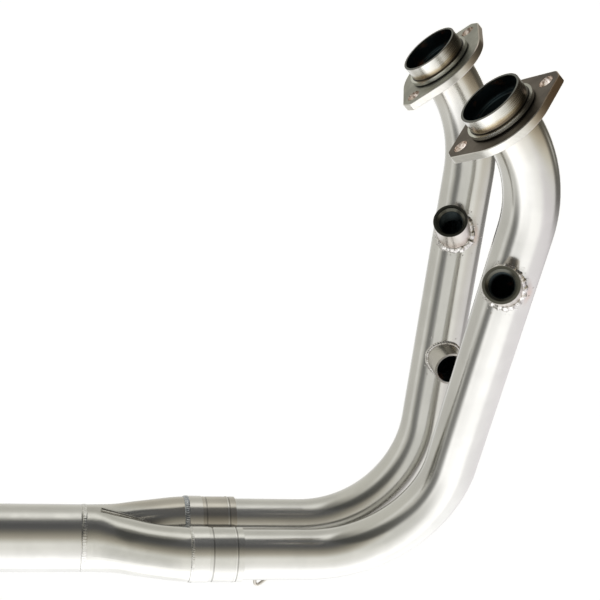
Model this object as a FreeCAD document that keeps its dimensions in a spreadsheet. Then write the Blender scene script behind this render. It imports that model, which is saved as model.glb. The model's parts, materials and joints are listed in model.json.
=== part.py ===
import FreeCAD, Part
import Sketcher
import math
import os

# Two-into-one exhaust header for a parallel twin engine.
# Origin at the centre of the outlet mouth, X toward the front bends,
# Y toward the left-hand pipe, Z up. Lengths in millimetres, angles in degrees.

Vec = FreeCAD.Vector
doc = FreeCAD.newDocument("exhaust_header")
os.makedirs("parts", exist_ok=True)

# Driving sizes
SIZES = {
    # primary pipes
    "pipe_radius": 19.05,
    "tube_wall": 1.5,
    "upper_bend_radius": 100.0,
    "lower_bend_radius": 95.0,
    # where the two ports sit and which way they face
    "port_span": 141.2,
    "port_forward": 325.0,
    "port_rise": 372.6,
    "port_tilt": 47.0,
    "port_run": 64.0,
    # lower runs
    "corner_forward": 355.2,
    "lower_spacing": 43.2,
    # port collar
    "spigot_radius": 22.0,
    "spigot_bore": 20.4,
    "spigot_length": 11.0,
    "ring_radius": 24.5,
    "ring_length": 2.5,
    "seat_radius": 23.4,
    "seat_length": 1.2,
    "hub_length": 6.8,
    "pipe_setback": 12.0,
    "socket_length": 5.0,
    "hub_relief": 0.3,
    # port flange
    "flange_radius": 34.0,
    "flange_reach": 42.8,
    "flange_tip": 8.0,
    "flange_thickness": 6.0,
    "flange_bore": 22.3,
    "stud_pitch": 67.0,
    "stud_hole": 5.0,
    "flange_corner": 3.5,
    "flange_edge": 0.5,
    "right_flange_turn": 82.0,
    "left_flange_turn": 114.0,
    # sensor bosses
    "boss_radius": 12.85,
    "boss_bore": 9.0,
    "boss_mouth": 10.9,
    "boss_mouth_depth": 1.6,
    "boss_reach": 39.0,
    "boss_lean": 29.5,
    "boss_turn": 32.4,
    "right_boss_station": 93.0,
    "left_boss_station": 99.0,
    # balance stub
    "balance_radius": 12.7,
    "balance_bore": 10.9,
    "balance_reach": 36.0,
    "balance_station": 185.6,
    # slip sleeves
    "sleeve_radius": 20.55,
    "sleeve_length": 37.5,
    "socket_rise": 0.35,
    "socket_band": 11.5,
    "sleeve_line": 1.2,
    "sleeve_line_depth": 0.4,
    "first_line": 14.0,
    "lip_line": 30.8,
    "lip_rise": 0.3,
    "second_line": 31.8,
    "pipe_short": 5.0,
    # collector and outlet
    "outlet_radius": 25.0,
    "outlet_length": 96.0,
    "neck_length": 6.0,
    "merge_length": 73.0,
    "branch_radius": 20.2,
    "merge_one": 15.0,
    "merge_one_side": 19.9,
    "merge_two": 30.0,
    "merge_two_side": 16.4,
    "merge_three": 44.0,
    "merge_three_side": 11.8,
    "merge_three_radius": 20.9,
    "merge_four": 57.0,
    "merge_four_side": 6.2,
    "merge_four_radius": 22.2,
    "merge_five": 67.0,
    "merge_five_side": 1.6,
    "merge_five_radius": 24.3,
    # welds
    "stub_bead": 2.8,
    "sleeve_bead": 0.9,
    "sleeve_bead_half": 2.8,
    "outlet_bead": 1.1,
    "outlet_bead_half": 2.6,
    "outlet_bevel": 0.7,
    "weld_root": 1.1,
    "seam_bead": 1.5,
    "port_bead": 2.6,
    "port_bead_foot": 1.1,
    # spring hook
    "hook_wire": 1.25,
    "hook_bend": 2.2,
    "hook_reach": 9.2,
    "hook_forward": 226.7,
    "hook_lead": 12.5,
    "hook_trail": 1.4,
}

sheet = doc.addObject("Spreadsheet::Sheet", "sizes")
for row, (alias, number) in enumerate(SIZES.items(), start=1):
    sheet.set("A%d" % row, alias)
    sheet.set("B%d" % row, repr(number))
    sheet.setAlias("B%d" % row, alias)
doc.recompute()
size = {alias: float(sheet.get(alias)) for alias in SIZES}


def total(terms):
    """Value and expression of a run of signed size names such as '+a -b'."""
    value = 0.0
    words = []
    for term in terms.split():
        sign = -1.0 if term[0] == "-" else 1.0
        value += sign * size[term.lstrip("+-")]
        words.append(("- " if sign < 0 else "+ ") + "sizes." + term.lstrip("+-"))
    text = " ".join(words)
    return value, text[2:] if text.startswith("+ ") else text


def derive(alias, number):
    """Keep a worked-out length in the sheet so that features can be bound to it."""
    row = len(size) + 1
    size[alias] = number
    sheet.set("A%d" % row, alias)
    sheet.set("B%d" % row, repr(round(number, 9)))
    sheet.setAlias("B%d" % row, alias)


def placed(origin, normal, across):
    """Placement with its Z axis along normal and its X axis as near across as it can be."""
    z = Vec(normal).normalize()
    x = (Vec(across) - z * z.dot(Vec(across))).normalize()
    y = z.cross(x)
    rows = []
    for number in range(3):
        rows += [x[number], y[number], z[number], origin[number]]
    return FreeCAD.Placement(FreeCAD.Matrix(*rows, 0, 0, 0, 1))


# Layout of one pipe
class Run:
    """Centreline of one primary pipe: side is -1 for the right pipe and +1 for the left."""

    def __init__(self, side):
        tilt = math.radians(size["port_tilt"])
        self.side = side
        self.out = Vec(-math.sin(tilt), 0, math.cos(tilt))
        self.port = Vec(size["port_forward"], side * size["port_span"] / 2, size["port_rise"])
        self.shoulder = self.port - self.out * size["port_run"]
        self.corner = Vec(size["corner_forward"], side * size["lower_spacing"] / 2, 0)
        self.down = (self.corner - self.shoulder).normalize()
        self.back = Vec(-1, 0, 0)
        first = self.down.getAngle(-self.out)
        second = self.down.getAngle(self.back)
        take_first = size["upper_bend_radius"] * math.tan(first / 2)
        take_second = size["lower_bend_radius"] * math.tan(second / 2)
        self.upper_angle = math.degrees(first)
        self.lower_angle = math.degrees(second)
        self.start = self.port - self.out * size["pipe_setback"]
        self.bend_one = self.shoulder + self.out * take_first
        self.leg_start = self.shoulder + self.down * take_first
        self.bend_two = self.corner - self.down * take_second
        self.tail_start = self.corner + self.back * take_second
        joint = size["outlet_length"] + size["neck_length"] + size["merge_length"]
        self.tail_end = joint + size["pipe_short"]
        self.first_straight = (self.bend_one - self.start).Length
        self.leg = (self.bend_two - self.leg_start).Length
        self.tail = self.tail_start.x - self.tail_end

    def station(self, distance):
        """Point on the straight leg, measured from the upper corner of the centreline."""
        return self.shoulder + self.down * distance


right = Run(-1)
left = Run(1)
derive("upper_angle", right.upper_angle)
derive("lower_angle", right.lower_angle)
derive("first_straight", right.first_straight)
derive("leg_straight", right.leg)
derive("tail_straight", right.tail)
derive("joint_forward", size["outlet_length"] + size["neck_length"] + size["merge_length"])
doc.recompute()


def boss_axis(run):
    """Outward direction of the sensor boss: leaned up the pipe and turned to the back."""
    up = run.down * -1
    side = Vec(0, -1, 0)
    side = (side - up * up.dot(side)).normalize()
    ahead = up.cross(side)
    lean = math.radians(size["boss_lean"])
    turn = math.radians(-size["boss_turn"])
    level = side * math.cos(turn) + ahead * math.sin(turn)
    return level * math.cos(lean) + up * math.sin(lean)


# Helpers for bodies and sketches
def new_body(name, placement):
    body = doc.addObject("PartDesign::Body", name)
    body.Label = name
    body.Placement = placement
    return body


def origin_plane(body, role):
    return [item for item in body.Origin.OriginFeatures if item.Role == role][0]


def new_sketch(body, name, role="XY_Plane", offset=None):
    sketch = body.newObject("Sketcher::SketchObject", name)
    sketch.AttachmentSupport = [(origin_plane(body, role), "")]
    sketch.MapMode = "FlatFace"
    if offset is not None:
        sketch.AttachmentOffset = offset
    return sketch


def add_circle(sketch, radius_terms, along=None):
    """Circle on the sketch origin, or on its X axis at a bound distance."""
    radius, text = total(radius_terms)
    x = total(along)[0] if along else 0.0
    circle = sketch.addGeometry(Part.Circle(Vec(x, 0, 0), Vec(0, 0, 1), radius), False)
    if along:
        sketch.addConstraint(Sketcher.Constraint("PointOnObject", circle, 3, -1))
        index = sketch.addConstraint(Sketcher.Constraint("DistanceX", -1, 1, circle, 3, x))
        sketch.setExpression("Constraints[%d]" % index, total(along)[1])
    else:
        sketch.addConstraint(Sketcher.Constraint("Coincident", circle, 3, -1, 1))
    index = sketch.addConstraint(Sketcher.Constraint("Radius", circle, radius))
    sketch.setExpression("Constraints[%d]" % index, text)
    return circle


def add_point_rules(sketch, line, across, along):
    """Hold the start of a line at bound distances from the sketch origin."""
    for kind, terms, axis in (("DistanceX", across, -2), ("DistanceY", along, -1)):
        if not terms:
            sketch.addConstraint(Sketcher.Constraint("PointOnObject", line, 1, axis))
            continue
        value, text = total(terms)
        if value >= 0:
            index = sketch.addConstraint(Sketcher.Constraint(kind, -1, 1, line, 1, value))
        else:
            index = sketch.addConstraint(Sketcher.Constraint(kind, line, 1, -1, 1, -value))
            text = "-1 * (%s)" % text
        sketch.setExpression("Constraints[%d]" % index, text)


def add_outline(sketch, corners):
    """Closed outline of straight lines through corners given as size names."""
    points = []
    for across, along in corners:
        x = total(across)[0] if across else 0.0
        y = total(along)[0] if along else 0.0
        points.append(Vec(x, y, 0))
    count = len(points)
    lines = []
    for number in range(count):
        segment = Part.LineSegment(points[number], points[(number + 1) % count])
        lines.append(sketch.addGeometry(segment, False))
    for number in range(count):
        following = lines[(number + 1) % count]
        sketch.addConstraint(Sketcher.Constraint("Coincident", lines[number], 2, following, 1))
    for number, (across, along) in enumerate(corners):
        add_point_rules(sketch, lines[number], across, along)
    return lines


def pad(body, sketch, terms, name, reverse=False):
    feature = body.newObject("PartDesign::Pad", name)
    feature.Profile = sketch
    feature.Length = total(terms)[0]
    feature.setExpression("Length", total(terms)[1])
    feature.Reversed = reverse
    body.Tip = feature
    return feature


def pocket(body, sketch, name, terms=None, reverse=False):
    feature = body.newObject("PartDesign::Pocket", name)
    feature.Profile = sketch
    if terms is None:
        feature.Type = "ThroughAll"
        feature.Midplane = True
    else:
        feature.Length = total(terms)[0]
        feature.setExpression("Length", total(terms)[1])
        feature.Reversed = reverse
    body.Tip = feature
    return feature


def revolve(body, sketch, name, axis="V_Axis", terms=None):
    feature = body.newObject("PartDesign::Revolution", name)
    feature.Profile = sketch
    feature.ReferenceAxis = (sketch, [axis])
    feature.Angle = 360.0 if terms is None else total(terms)[0]
    if terms is not None:
        feature.setExpression("Angle", total(terms)[1])
    body.Tip = feature
    return feature


# Primary pipes: drawn straight, bent, straight, bent, straight
def ring_sketch(body, name, where, along=None):
    sketch = new_sketch(body, name, offset=body.Placement.inverse() * where)
    add_circle(sketch, "+pipe_radius", along)
    add_circle(sketch, "+pipe_radius -tube_wall", along)
    return sketch


def bend_frame(start, heading, target, radius_name):
    """Sketch frame on the bend centre: X out to the pipe, Y along the bend axis."""
    inward = (target - heading * heading.dot(target)).normalize()
    centre = start + inward * size[radius_name]
    return placed(centre, heading * -1, inward * -1)


def make_pipe(name, run, openings):
    heading = run.out * -1
    body = new_body(name, placed(run.start, heading, Vec(0, 1, 0)))
    first = ring_sketch(body, name + "_top_ring", placed(run.start, heading, Vec(0, 1, 0)))
    pad(body, first, "+first_straight", name + "_top_straight")
    frame = bend_frame(run.bend_one, heading, run.down, "upper_bend_radius")
    second = ring_sketch(body, name + "_upper_ring", frame, "+upper_bend_radius")
    revolve(body, second, name + "_upper_bend", terms="+upper_angle")
    third = ring_sketch(body, name + "_leg_ring", placed(run.leg_start, run.down, Vec(0, 1, 0)))
    pad(body, third, "+leg_straight", name + "_leg")
    frame = bend_frame(run.bend_two, run.down, run.back, "lower_bend_radius")
    fourth = ring_sketch(body, name + "_lower_ring", frame, "+lower_bend_radius")
    revolve(body, fourth, name + "_lower_bend", terms="+lower_angle")
    fifth = ring_sketch(body, name + "_tail_ring", placed(run.tail_start, run.back, Vec(0, 1, 0)))
    pad(body, fifth, "+tail_straight", name + "_tail")
    for label, station, axis, bore in openings:
        where = placed(run.station(size[station]), axis * -1, run.down)
        hole = new_sketch(body, name + "_" + label, offset=body.Placement.inverse() * where)
        add_circle(hole, "+" + bore)
        pocket(body, hole, name + "_" + label + "_cut", "+boss_reach")
    return body


right_boss_axis = boss_axis(right)
left_boss_axis = boss_axis(left)
balance_axis = Vec(0, -1, 0)
parts = []
right_pipe = make_pipe(
    "right_header_pipe",
    right,
    [("sensor_opening", "right_boss_station", right_boss_axis, "boss_bore")],
)
left_pipe = make_pipe(
    "left_header_pipe",
    left,
    [
        ("sensor_opening", "left_boss_station", left_boss_axis, "boss_bore"),
        ("balance_opening", "balance_station", balance_axis, "balance_bore"),
    ],
)
parts += [right_pipe, left_pipe]


# Port collars: spigot, retaining ring, seat for the flange and hub round the pipe
def make_collar(name, run):
    body = new_body(name, placed(run.port, run.out, Vec(0, 1, 0)))
    sketch = new_sketch(body, name + "_section", "XZ_Plane")
    ring_end = "-spigot_length -ring_length"
    seat_end = ring_end + " -seat_length"
    hub_end = seat_end + " -hub_length"
    socket_end = "-pipe_setback -socket_length"
    add_outline(
        sketch,
        [
            ("+spigot_bore", ""),
            ("+spigot_radius", ""),
            ("+spigot_radius", "-spigot_length"),
            ("+ring_radius", "-spigot_length"),
            ("+ring_radius", ring_end),
            ("+seat_radius", ring_end),
            ("+seat_radius", seat_end),
            ("+spigot_radius", seat_end),
            ("+spigot_radius", hub_end),
            ("+pipe_radius +hub_relief", hub_end),
            ("+pipe_radius +hub_relief", socket_end),
            ("+pipe_radius", socket_end),
            ("+pipe_radius", "-pipe_setback"),
            ("+spigot_bore", "-pipe_setback"),
        ],
    )
    revolve(body, sketch, name + "_turned")
    return body


parts += [make_collar("right_port_collar", right), make_collar("left_port_collar", left)]


# Port flanges: two-hole plates that sit loose on the hub, each turned as photographed
def edges_where(shape, keep):
    return ["Edge%d" % (number + 1) for number, edge in enumerate(shape.Edges) if keep(edge)]


def make_flange(name, run, turn):
    cross = Vec(0, 1, 0)
    slope = run.out.cross(cross)
    angle = math.radians(size[turn])
    toward = cross * math.cos(angle) + slope * math.sin(angle)
    drop = total("+spigot_length +ring_length +seat_length +flange_thickness")[0]
    body = new_body(name, placed(run.port - run.out * drop, run.out, toward))
    sketch = new_sketch(body, name + "_outline")
    radius = size["flange_radius"]
    reach = size["flange_reach"]
    half = size["flange_tip"] / 2
    touch = math.atan2(half, reach) + math.acos(radius / math.hypot(reach, half))
    tx = radius * math.cos(touch)
    ty = radius * math.sin(touch)
    origin = Vec(0, 0, 0)
    circle = Part.Circle(origin, Vec(0, 0, 1), radius)
    sketch.addGeometry(Part.LineSegment(Vec(reach, -half, 0), Vec(reach, half, 0)), False)
    sketch.addGeometry(Part.LineSegment(Vec(reach, half, 0), Vec(tx, ty, 0)), False)
    sketch.addGeometry(Part.ArcOfCircle(circle, touch, math.pi - touch), False)
    sketch.addGeometry(Part.LineSegment(Vec(-tx, ty, 0), Vec(-reach, half, 0)), False)
    sketch.addGeometry(Part.LineSegment(Vec(-reach, half, 0), Vec(-reach, -half, 0)), False)
    sketch.addGeometry(Part.LineSegment(Vec(-reach, -half, 0), Vec(-tx, -ty, 0)), False)
    sketch.addGeometry(Part.ArcOfCircle(circle, math.pi + touch, 2 * math.pi - touch), False)
    sketch.addGeometry(Part.LineSegment(Vec(tx, -ty, 0), Vec(reach, -half, 0)), False)
    for first, second in ((0, 1), (3, 4), (4, 5), (7, 0)):
        sketch.addConstraint(Sketcher.Constraint("Coincident", first, 2, second, 1))
    for first, second in ((1, 2), (2, 3), (5, 6), (6, 7)):
        sketch.addConstraint(Sketcher.Constraint("Tangent", first, 2, second, 1))
    sketch.addConstraint(Sketcher.Constraint("Coincident", 2, 3, -1, 1))
    sketch.addConstraint(Sketcher.Constraint("Coincident", 6, 3, -1, 1))
    sketch.addConstraint(Sketcher.Constraint("Symmetric", 0, 1, 0, 2, -1))
    sketch.addConstraint(Sketcher.Constraint("Symmetric", 4, 1, 4, 2, -1))
    for kind, places, terms in (
        ("Radius", (2,), "+flange_radius"),
        ("Radius", (6,), "+flange_radius"),
        ("DistanceX", (-1, 1, 0, 1), "+flange_reach"),
        ("DistanceX", (4, 1, -1, 1), "+flange_reach"),
        ("DistanceY", (0, 1, 0, 2), "+flange_tip"),
        ("DistanceY", (4, 2, 4, 1), "+flange_tip"),
    ):
        value, text = total(terms)
        index = sketch.addConstraint(Sketcher.Constraint(kind, *places, value))
        sketch.setExpression("Constraints[%d]" % index, text)
    plate = pad(body, sketch, "+flange_thickness", name + "_plate")
    doc.recompute()
    tips = edges_where(plate.Shape, is_tip_edge)
    corner = body.newObject("PartDesign::Fillet", name + "_corners")
    corner.Base = (plate, tips)
    corner.Radius = size["flange_corner"]
    corner.setExpression("Radius", "sizes.flange_corner")
    body.Tip = corner
    bore = new_sketch(body, name + "_bore")
    add_circle(bore, "+flange_bore")
    pocket(body, bore, name + "_bore_cut")
    studs = new_sketch(body, name + "_stud_holes")
    for side in (1, -1):
        x = side * size["stud_pitch"] / 2
        hole = studs.addGeometry(Part.Circle(Vec(x, 0, 0), Vec(0, 0, 1), size["stud_hole"]), False)
        studs.addConstraint(Sketcher.Constraint("PointOnObject", hole, 3, -1))
        ends = (-1, 1, hole, 3) if side > 0 else (hole, 3, -1, 1)
        index = studs.addConstraint(Sketcher.Constraint("DistanceX", *ends, abs(x)))
        studs.setExpression("Constraints[%d]" % index, "sizes.stud_pitch / 2")
        index = studs.addConstraint(Sketcher.Constraint("Radius", hole, size["stud_hole"]))
        studs.setExpression("Constraints[%d]" % index, "sizes.stud_hole")
    cut = pocket(body, studs, name + "_stud_cut")
    doc.recompute()
    rim = edges_where(cut.Shape, is_rim_edge)
    broken = body.newObject("PartDesign::Chamfer", name + "_edge")
    broken.Base = (cut, rim)
    broken.Size = size["flange_edge"]
    broken.setExpression("Size", "sizes.flange_edge")
    body.Tip = broken
    return body


def edge_rise(edge):
    """Change of height along an edge of a flat plate."""
    heights = [vertex.Point.z for vertex in edge.Vertexes]
    return max(heights) - min(heights)


def edge_reach(edge):
    """Distance of an edge's middle from the plate's own Z axis."""
    middle = edge.valueAt((edge.FirstParameter + edge.LastParameter) / 2)
    return math.hypot(middle.x, middle.y)


def is_tip_edge(edge):
    return edge_rise(edge) > size["flange_thickness"] / 2 and edge_reach(edge) > size["flange_radius"] + 3


def is_rim_edge(edge):
    return edge_rise(edge) < 0.01 and edge_reach(edge) > size["flange_radius"] - 1 and not edge.isClosed()


parts += [
    make_flange("right_port_flange", right, "right_flange_turn"),
    make_flange("left_port_flange", left, "left_flange_turn"),
]


# Weld between the hub of each collar and its pipe, hidden under the flange
def make_port_weld(name, run):
    drop = total("+spigot_length +ring_length +seat_length +hub_length")[0]
    body = new_body(name + "_ring", placed(run.port - run.out * drop, run.out, Vec(0, 1, 0)))
    sketch = new_sketch(body, name + "_section", "XZ_Plane")
    add_outline(
        sketch,
        [
            ("+pipe_radius -tube_wall", ""),
            ("+spigot_radius", ""),
            ("+spigot_radius", "-hub_relief"),
            ("+pipe_radius +port_bead_foot", "-port_bead"),
            ("+pipe_radius -tube_wall", "-port_bead"),
        ],
    )
    revolve(body, sketch, name + "_turned")
    return trim(name, body, [pipe_core(name, run)])


def pipe_core(name, run):
    """Solid rod filling the pipe round its upper bend, used to trim what sits on the pipe."""
    rod = doc.addObject("Part::Cylinder", name + "_core_straight")
    rod.Placement = placed(run.start, run.out * -1, Vec(0, 1, 0))
    rod.setExpression("Radius", "sizes.pipe_radius")
    rod.setExpression("Height", "sizes.first_straight")
    bend = doc.addObject("Part::Torus", name + "_core_bend")
    frame = bend_frame(run.bend_one, run.out * -1, run.down, "upper_bend_radius")
    across = frame.Rotation.multVec(Vec(1, 0, 0))
    axis = frame.Rotation.multVec(Vec(0, 1, 0))
    bend.Placement = placed(frame.Base, axis, across)
    bend.setExpression("Radius1", "sizes.upper_bend_radius")
    bend.setExpression("Radius2", "sizes.pipe_radius")
    bend.setExpression("Angle3", "sizes.upper_angle")
    return join(name + "_core", [rod, bend])


def join(name, pieces):
    whole = doc.addObject("Part::MultiFuse", name)
    whole.Shapes = pieces
    return whole


def trim(name, base, tools):
    """Cut tools from base one after another; the last cut carries the name."""
    for number, tool in enumerate(tools):
        last = number == len(tools) - 1
        cut = doc.addObject("Part::Cut", name if last else "%s_trim_%d" % (name, number))
        cut.Base = base
        cut.Tool = tool
        base = cut
    base.Label = name
    return base


parts += [make_port_weld("right_port_weld", right), make_port_weld("left_port_weld", left)]


# Sensor bosses and balance stub: short turned tubes saddled onto the straight legs
def saddle(body, name, run, station):
    """Take the pipe's own outside off the foot of a boss or stub."""
    where = placed(run.station(size[station]), run.down, Vec(0, 1, 0))
    sketch = new_sketch(body, name + "_saddle", offset=body.Placement.inverse() * where)
    add_circle(sketch, "+pipe_radius")
    return pocket(body, sketch, name + "_saddle_cut")


def make_boss(name, run, axis, station):
    body = new_body(name, placed(run.station(size[station]), axis, run.down))
    sketch = new_sketch(body, name + "_section", "XZ_Plane")
    add_outline(
        sketch,
        [
            ("+boss_bore", ""),
            ("+boss_radius", ""),
            ("+boss_radius", "+boss_reach"),
            ("+boss_mouth", "+boss_reach"),
            ("+boss_mouth", "+boss_reach -boss_mouth_depth"),
            ("+boss_bore", "+boss_reach -boss_mouth_depth -boss_mouth_depth"),
        ],
    )
    revolve(body, sketch, name + "_turned")
    saddle(body, name, run, station)
    return body


def make_balance_stub(name, run, axis):
    body = new_body(name, placed(run.station(size["balance_station"]), axis, run.down))
    sketch = new_sketch(body, name + "_ring")
    add_circle(sketch, "+balance_radius")
    add_circle(sketch, "+balance_bore")
    pad(body, sketch, "+balance_reach", name + "_tube")
    saddle(body, name, run, "balance_station")
    return body


right_boss = make_boss("right_sensor_boss", right, right_boss_axis, "right_boss_station")
left_boss = make_boss("left_sensor_boss", left, left_boss_axis, "left_boss_station")
balance = make_balance_stub("balance_stub", left, balance_axis)
parts += [right_boss, left_boss, balance]


def rod(name, placement, radius, length):
    item = doc.addObject("Part::Cylinder", name)
    item.Placement = placement
    item.setExpression("Radius", radius)
    item.setExpression("Height", length)
    return item


def make_stub_weld(name, run, station, axis, radius):
    """Fillet weld in the corner between a stub and its pipe."""
    foot = run.station(size[station])
    reach = "sizes.boss_reach"
    along = placed(foot - run.down * size["boss_reach"], run.down, Vec(0, 1, 0))
    outward = placed(foot, axis, run.down)
    wide_stub = rod(name + "_wide_stub", outward, "sizes.%s + sizes.stub_bead" % radius, reach)
    wide_pipe = rod(name + "_wide_pipe", along, "sizes.pipe_radius + sizes.stub_bead", reach + " * 2")
    corner = doc.addObject("Part::MultiCommon", name + "_corner")
    corner.Shapes = [wide_stub, wide_pipe]
    stub_core = rod(name + "_stub_core", outward, "sizes.%s" % radius, reach)
    pipe_rod = rod(name + "_pipe_core", along, "sizes.pipe_radius", reach + " * 2")
    return trim(name, corner, [stub_core, pipe_rod])


parts += [
    make_stub_weld("right_boss_weld", right, "right_boss_station", right_boss_axis, "boss_radius"),
    make_stub_weld("left_boss_weld", left, "left_boss_station", left_boss_axis, "boss_radius"),
    make_stub_weld("balance_weld", left, "balance_station", balance_axis, "balance_radius"),
]


# Slip sleeves over the tails of the pipes, with two rolled lines each
def tail_centre(run, forward):
    return Vec(forward, run.side * size["lower_spacing"] / 2, 0)


def make_sleeve(name, run):
    body = new_body(name, placed(tail_centre(run, size["joint_forward"]), Vec(1, 0, 0), Vec(0, 1, 0)))
    sketch = new_sketch(body, name + "_section", "XZ_Plane")
    inner = "+pipe_radius"
    outer = "+sleeve_radius"
    low = "+sleeve_radius -sleeve_line_depth"
    band = "+sleeve_radius +socket_rise"
    lip = "+sleeve_radius +lip_rise"
    corners = [(inner, ""), (band, ""), (band, "+socket_band"), (outer, "+socket_band")]
    corners += [(outer, "+first_line"), (low, "+first_line")]
    corners += [(low, "+first_line +sleeve_line"), (outer, "+first_line +sleeve_line")]
    corners += [(outer, "+lip_line"), (lip, "+lip_line"), (lip, "+second_line"), (low, "+second_line")]
    corners += [(low, "+second_line +sleeve_line"), (outer, "+second_line +sleeve_line")]
    corners += [(outer, "+sleeve_length"), (inner, "+sleeve_length")]
    add_outline(sketch, corners)
    revolve(body, sketch, name + "_rolled")
    return body


right_sleeve = make_sleeve("right_slip_sleeve", right)
left_sleeve = make_sleeve("left_slip_sleeve", left)
parts += [right_sleeve, left_sleeve]


# Collector: two lofted half shells that meet on the mid-plane. Each keeps its round
# branch section while it leans inward, then opens out into its half of the neck.
STATIONS = (
    ("branch_end", 0.0, "+lower_spacing", "+branch_radius"),
    ("merge_one", 1.0, "+merge_one_side", "+branch_radius"),
    ("merge_two", 1.0, "+merge_two_side", "+branch_radius"),
    ("merge_three", 1.0, "+merge_three_side", "+merge_three_radius"),
    ("merge_four", 1.0, "+merge_four_side", "+merge_four_radius"),
    ("merge_five", 1.0, "+merge_five_side", "+merge_five_radius"),
)


def section(number):
    """Distance from the branch end, offset from the mid-plane and radius terms of one section."""
    name, share, side, radius = STATIONS[number]
    back = size[name] if share else 0.0
    offset = total(side)[0] if share else total(side)[0] / 2
    return back, offset, radius


def make_collector_half(name, run):
    body = new_body(name, placed(Vec(size["outlet_length"], 0, 0), Vec(1, 0, 0), Vec(0, run.side, 0)))
    inverse = body.Placement.inverse()
    across = Vec(0, run.side, 0)
    near = placed(Vec(size["outlet_length"] + size["neck_length"], 0, 0), Vec(1, 0, 0), across)
    for step, kind, trimmed in ((0, "AdditiveLoft", ""), (1, "SubtractiveLoft", " -tube_wall")):
        round_end = new_sketch(body, "%s_outlet_round_%d" % (name, step), offset=inverse * near)
        add_circle(round_end, "+outlet_radius" + trimmed)
        rounds = []
        for number in reversed(range(len(STATIONS))):
            back, offset, radius = section(number)
            centre = Vec(size["joint_forward"] - back, run.side * offset, 0)
            frame = inverse * placed(centre, Vec(1, 0, 0), across)
            ring = new_sketch(body, "%s_%s_%d" % (name, STATIONS[number][0], step), offset=frame)
            add_circle(ring, radius + trimmed)
            rounds.append(ring)
        loft = body.newObject("PartDesign::" + kind, "%s_loft_%d" % (name, step))
        loft.Profile = round_end
        loft.Sections = rounds
        loft.Ruled = False
        body.Tip = loft
        neck = new_sketch(body, "%s_neck_round_%d" % (name, step), offset=inverse * near)
        add_circle(neck, "+outlet_radius" + trimmed)
        if step == 0:
            pad(body, neck, "+neck_length", name + "_neck", reverse=True)
        else:
            pocket(body, neck, name + "_neck_bore", "+neck_length")
    half = new_sketch(body, name + "_mid_plane")
    reach = size["outlet_radius"] + size["sleeve_radius"]
    corners = [Vec(0, -reach, 0), Vec(0, reach, 0), Vec(-reach, reach, 0), Vec(-reach, -reach, 0)]
    lines = []
    for number in range(4):
        lines.append(half.addGeometry(Part.LineSegment(corners[number], corners[(number + 1) % 4]), False))
    for number in range(4):
        half.addConstraint(Sketcher.Constraint("Coincident", lines[number], 2, lines[(number + 1) % 4], 1))
    half.addConstraint(Sketcher.Constraint("Vertical", lines[0]))
    half.addConstraint(Sketcher.Constraint("Vertical", lines[2]))
    half.addConstraint(Sketcher.Constraint("Horizontal", lines[1]))
    half.addConstraint(Sketcher.Constraint("Horizontal", lines[3]))
    half.addConstraint(Sketcher.Constraint("PointOnObject", lines[0], 1, -2))
    far = "sizes.outlet_radius + sizes.sleeve_radius"
    for kind, places in (
        ("DistanceY", (lines[0], 1, -1, 1)),
        ("DistanceY", (-1, 1, lines[0], 2)),
        ("DistanceX", (lines[2], 1, -1, 1)),
    ):
        index = half.addConstraint(Sketcher.Constraint(kind, *places, reach))
        half.setExpression("Constraints[%d]" % index, far)
    pocket(body, half, name + "_mid_cut")
    return body


right_half = make_collector_half("right_collector_half", right)
left_half = make_collector_half("left_collector_half", left)
parts += [right_half, left_half]


# Outlet pipe, plain at its open end and bevelled under the weld that joins it to the collector
def make_outlet(name):
    body = new_body(name, placed(Vec(0, 0, 0), Vec(1, 0, 0), Vec(0, 1, 0)))
    sketch = new_sketch(body, name + "_section", "XZ_Plane")
    corners = [("+outlet_radius -tube_wall", ""), ("+outlet_radius", "")]
    corners += [("+outlet_radius", "+outlet_length -outlet_bead_half")]
    corners += [("+outlet_radius -outlet_bevel", "+outlet_length"), ("+outlet_radius -tube_wall", "+outlet_length")]
    add_outline(sketch, corners)
    revolve(body, sketch, name + "_tube")
    return body


outlet = make_outlet("outlet_pipe")
parts += [outlet]


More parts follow.
